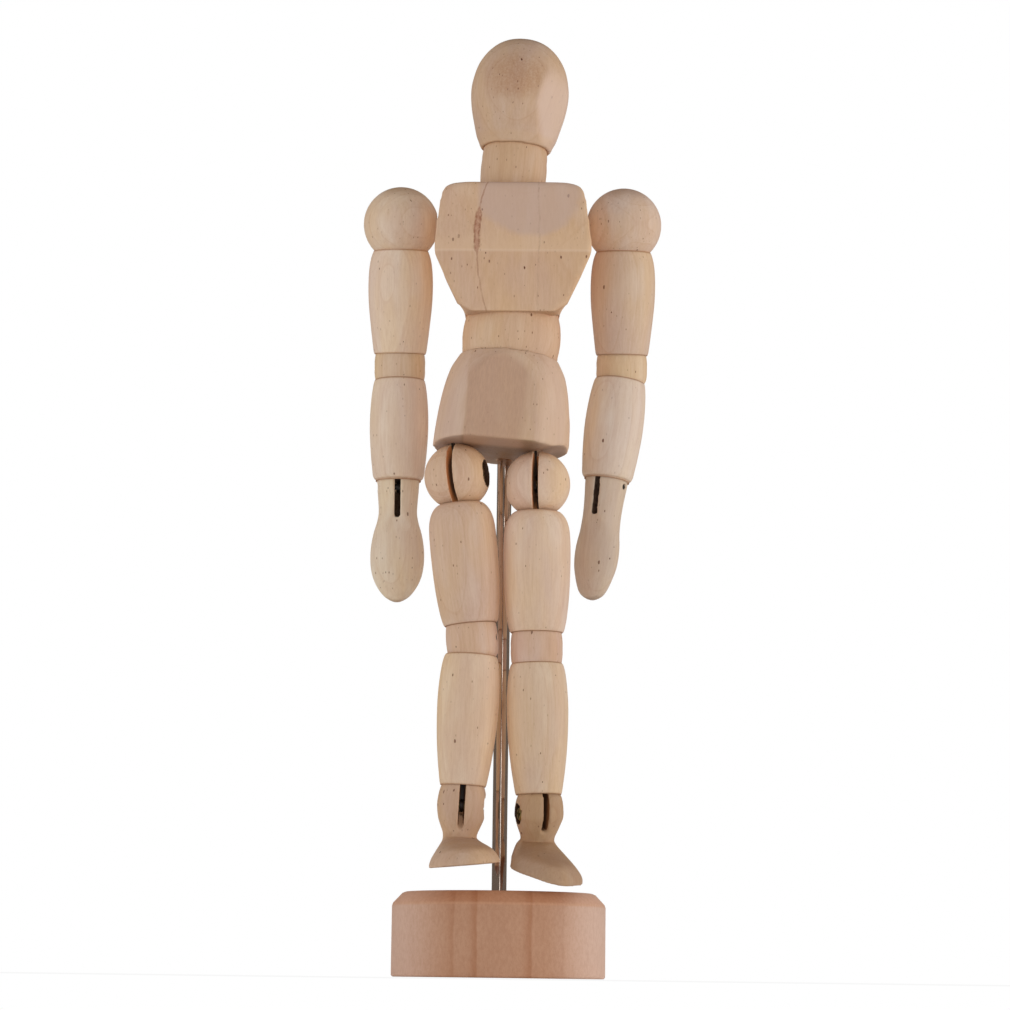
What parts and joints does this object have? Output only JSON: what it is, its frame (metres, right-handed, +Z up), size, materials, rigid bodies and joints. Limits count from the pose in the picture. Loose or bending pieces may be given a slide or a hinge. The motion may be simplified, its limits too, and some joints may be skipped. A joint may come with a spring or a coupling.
{
  "type": "artist mannequin",
  "caption": "Jointed wooden figure on a rod and round base, with ball and barrel joints held by hidden springs, posed by hand as a drawing aid.",
  "frame": {"origin": "centre of the underside of the base, under the rod", "axes": "+Z up along the rod; the figure faces -Y; its left arm is at +X"},
  "size_m": [0.0967, 0.0722, 0.3027],
  "materials": {
    "wood": "satin, bare",
    "base_wood": "satin, bare",
    "plated_rod": "bright plated",
    "zinc_screw": "yellow zinc plated",
    "steel": "bare spring steel"
  },
  "bodies": {
    "stand": {"base": "base_wood", "support_rod": "plated_rod"},
    "pelvis": {"pelvis": "wood"},
    "waist_link": {"waist_link": "steel"},
    "waist": {"waist_barrel": "wood", "waist_pins": "steel"},
    "chest": {"chest": "wood", "spine_spring": "steel", "shoulder_spring": "steel"},
    "neck_link": {"neck_link": "steel"},
    "neck": {"neck_barrel": "wood", "neck_pins": "steel"},
    "head": {"head": "wood", "head_link": "steel"},
    "right_shoulder": {"right_shoulder_ball": "wood", "right_shoulder_hook": "steel"},
    "right_arm_link": {"right_arm_link": "steel"},
    "right_upper_arm": {"right_upper_arm": "wood", "right_upper_arm_spring": "steel"},
    "right_elbow": {"right_elbow_barrel": "wood", "right_elbow_pin": "steel"},
    "right_forearm": {"right_forearm": "wood", "right_forearm_spring": "steel"},
    "right_hand": {"right_hand": "wood", "right_hand_pin": "steel"},
    "right_hip_link": {"right_hip_link": "steel"},
    "right_hip": {"right_hip_ball": "wood", "right_hip_screw": "zinc_screw"},
    "right_thigh": {"right_thigh": "wood", "right_thigh_spring": "steel"},
    "right_knee": {"right_knee_barrel": "wood", "right_knee_pin": "steel"},
    "right_shin": {"right_shin": "wood", "right_shin_spring": "steel"},
    "right_ankle_link": {"right_ankle_link": "steel"},
    "right_foot": {"right_foot": "wood", "right_ankle_screw": "zinc_screw"},
    "left_shoulder": {"left_shoulder_ball": "wood", "left_shoulder_hook": "steel"},
    "left_arm_link": {"left_arm_link": "steel"},
    "left_upper_arm": {"left_upper_arm": "wood", "left_upper_arm_spring": "steel"},
    "left_elbow": {"left_elbow_barrel": "wood", "left_elbow_pin": "steel"},
    "left_forearm": {"left_forearm": "wood", "left_forearm_spring": "steel"},
    "left_hand": {"left_hand": "wood", "left_hand_pin": "steel"},
    "left_hip_link": {"left_hip_link": "steel"},
    "left_hip": {"left_hip_ball": "wood", "left_hip_screw": "zinc_screw"},
    "left_thigh": {"left_thigh": "wood", "left_thigh_spring": "steel"},
    "left_knee": {"left_knee_barrel": "wood", "left_knee_pin": "steel"},
    "left_shin": {"left_shin": "wood", "left_shin_spring": "steel"},
    "left_ankle_link": {"left_ankle_link": "steel"},
    "left_foot": {"left_foot": "wood", "left_ankle_screw": "zinc_screw"}
  },
  "joints": [
    {"name": "body_turn", "type": "hinge", "parent": "stand", "child": "pelvis", "pos_m": [0, 0, 0.173], "axis": [0, 0, 1], "continuous": true},
    {"name": "waist_turn", "type": "hinge", "parent": "pelvis", "child": "waist_link", "pos_m": [0.00141, -0.00971, 0.19981], "axis": [0.0837, 0.0175, 0.9963], "range_deg": [-40, 40]},
    {"name": "waist_bend", "type": "hinge", "parent": "waist_link", "child": "waist", "pos_m": [0.00141, -0.00971, 0.19981], "axis": [0.9965, 0, -0.0837], "range_deg": [-14, 13]},
    {"name": "chest_lean", "type": "hinge", "parent": "waist", "child": "chest", "pos_m": [0.00191, -0.00971, 0.20579], "axis": [0, 1, 0], "range_deg": [-5, 7]},
    {"name": "neck_turn", "type": "hinge", "parent": "chest", "child": "neck_link", "pos_m": [0.00156, -0.00971, 0.25649], "axis": [-0.007, 0, 1], "range_deg": [-80, 80]},
    {"name": "neck_lean", "type": "hinge", "parent": "neck_link", "child": "neck", "pos_m": [0.00156, -0.00971, 0.25649], "axis": [0, 1, 0], "range_deg": [-18, 15]},
    {"name": "head_nod", "type": "hinge", "parent": "neck", "child": "head", "pos_m": [0.00189, -0.00971, 0.26148], "axis": [0.9978, 0, -0.0663], "range_deg": [-24, 24]},
    {"name": "right_arm_swing", "type": "hinge", "parent": "chest", "child": "right_shoulder", "pos_m": [-0.03464, -0.00521, 0.24164], "axis": [-1, 0, -0.007], "range_deg": [-45, 150]},
    {"name": "right_arm_raise", "type": "hinge", "parent": "right_shoulder", "child": "right_arm_link", "pos_m": [-0.03464, -0.00521, 0.24164], "axis": [-0.0011, 0.9877, 0.1564], "range_deg": [-3, 85]},
    {"name": "right_arm_twist", "type": "hinge", "parent": "right_arm_link", "child": "right_upper_arm", "pos_m": [-0.03464, -0.00521, 0.24164], "axis": [0.0034, 0.1564, -0.9877], "range_deg": [-80, 80]},
    {"name": "right_elbow_bend", "type": "hinge", "parent": "right_upper_arm", "child": "right_elbow", "pos_m": [-0.03448, 0.00205, 0.19581], "axis": [-1, -0.0005, -0.0035], "range_deg": [-23, 23]},
    {"name": "right_forearm_bend", "type": "hinge", "parent": "right_elbow", "child": "right_forearm", "pos_m": [-0.03448, 0.00205, 0.19581], "axis": [-1, -0.0005, -0.0035], "range_deg": [-23, 23]},
    {"name": "right_hand_bend", "type": "hinge", "parent": "right_forearm", "child": "right_hand", "pos_m": [-0.03434, 0.00342, 0.15663], "axis": [-1, -0.0005, -0.0035], "range_deg": [-5, 40]},
    {"name": "left_arm_swing", "type": "hinge", "parent": "chest", "child": "left_shoulder", "pos_m": [0.03776, -0.00521, 0.24214], "axis": [-1, 0, -0.007], "range_deg": [-45, 150]},
    {"name": "left_arm_raise", "type": "hinge", "parent": "left_shoulder", "child": "left_arm_link", "pos_m": [0.03776, -0.00521, 0.24214], "axis": [0.0011, -0.9877, -0.1564], "range_deg": [-3, 85]},
    {"name": "left_arm_twist", "type": "hinge", "parent": "left_arm_link", "child": "left_upper_arm", "pos_m": [0.03776, -0.00521, 0.24214], "axis": [0.0018, -0.1564, 0.9877], "range_deg": [-80, 80]},
    {"name": "left_elbow_bend", "type": "hinge", "parent": "left_upper_arm", "child": "left_elbow", "pos_m": [0.03768, 0.00205, 0.19631], "axis": [-1, -0.0014, 0.0016], "range_deg": [-23, 20]},
    {"name": "left_forearm_bend", "type": "hinge", "parent": "left_elbow", "child": "left_forearm", "pos_m": [0.03768, 0.00205, 0.19631], "axis": [-1, -0.0014, 0.0016], "range_deg": [-23, 20]},
    {"name": "left_hand_bend", "type": "hinge", "parent": "left_forearm", "child": "left_hand", "pos_m": [0.03284, 0.00136, 0.15742], "axis": [-0.8768, 0.4701, 0.1008], "range_deg": [-5, 10]},
    {"name": "right_hip_turn", "type": "hinge", "parent": "pelvis", "child": "right_hip_link", "pos_m": [-0.01496, -0.01437, 0.15721], "axis": [0.0959, -0.0172, -0.9952], "range_deg": [-6, 35]},
    {"name": "right_hip_swing", "type": "hinge", "parent": "right_hip_link", "child": "right_hip", "pos_m": [-0.01496, -0.01437, 0.15721], "axis": [-0.9662, 0.2389, -0.0972], "range_deg": [-3, 40]},
    {"name": "right_thigh_swing", "type": "hinge", "parent": "right_hip", "child": "right_thigh", "pos_m": [-0.01496, -0.01437, 0.15721], "axis": [-0.9662, 0.2389, -0.0972], "range_deg": [-3, 40]},
    {"name": "right_knee_bend", "type": "hinge", "parent": "right_thigh", "child": "right_knee", "pos_m": [-0.00951, -0.0135, 0.1052], "axis": [0.9662, -0.2389, 0.0972], "range_deg": [-28, 6]},
    {"name": "right_shin_bend", "type": "hinge", "parent": "right_knee", "child": "right_shin", "pos_m": [-0.00951, -0.0135, 0.1052], "axis": [0.9662, -0.2389, 0.0972], "range_deg": [-28, 6]},
    {"name": "right_foot_turn", "type": "hinge", "parent": "right_shin", "child": "right_ankle_link", "pos_m": [-0.01201, -0.01366, 0.05326], "axis": [-0.0479, -0.003, -0.9988], "range_deg": [-12, 40]},
    {"name": "right_foot_bend", "type": "hinge", "parent": "right_ankle_link", "child": "right_foot", "pos_m": [-0.01201, -0.01366, 0.05326], "axis": [-0.9987, -0.0176, 0.048], "range_deg": [-18, 40]},
    {"name": "left_hip_turn", "type": "hinge", "parent": "pelvis", "child": "left_hip_link", "pos_m": [0.01045, -0.01437, 0.15507], "axis": [-0.0052, 0.0174, 0.9998], "range_deg": [-2, 40]},
    {"name": "left_hip_swing", "type": "hinge", "parent": "left_hip_link", "child": "left_hip", "pos_m": [0.01045, -0.01437, 0.15507], "axis": [-0.9963, 0.0856, -0.0067], "range_deg": [-4, 40]},
    {"name": "left_thigh_swing", "type": "hinge", "parent": "left_hip", "child": "left_thigh", "pos_m": [0.01045, -0.01437, 0.15507], "axis": [-0.9963, 0.0856, -0.0067], "range_deg": [-4, 40]},
    {"name": "left_knee_bend", "type": "hinge", "parent": "left_thigh", "child": "left_knee", "pos_m": [0.01088, -0.01346, 0.10278], "axis": [0.9963, -0.0856, 0.0067], "range_deg": [-28, 5]},
    {"name": "left_shin_bend", "type": "hinge", "parent": "left_knee", "child": "left_shin", "pos_m": [0.01088, -0.01346, 0.10278], "axis": [0.9963, -0.0856, 0.0067], "range_deg": [-28, 5]},
    {"name": "left_foot_turn", "type": "hinge", "parent": "left_shin", "child": "left_ankle_link", "pos_m": [0.01213, -0.01354, 0.0508], "axis": [-0.0241, 0.0015, 0.9997], "range_deg": [-20, 40]},
    {"name": "left_foot_bend", "type": "hinge", "parent": "left_ankle_link", "child": "left_foot", "pos_m": [0.01213, -0.01354, 0.0508], "axis": [-0.9503, -0.3105, -0.0225], "range_deg": [-8, 40]}
  ]
}
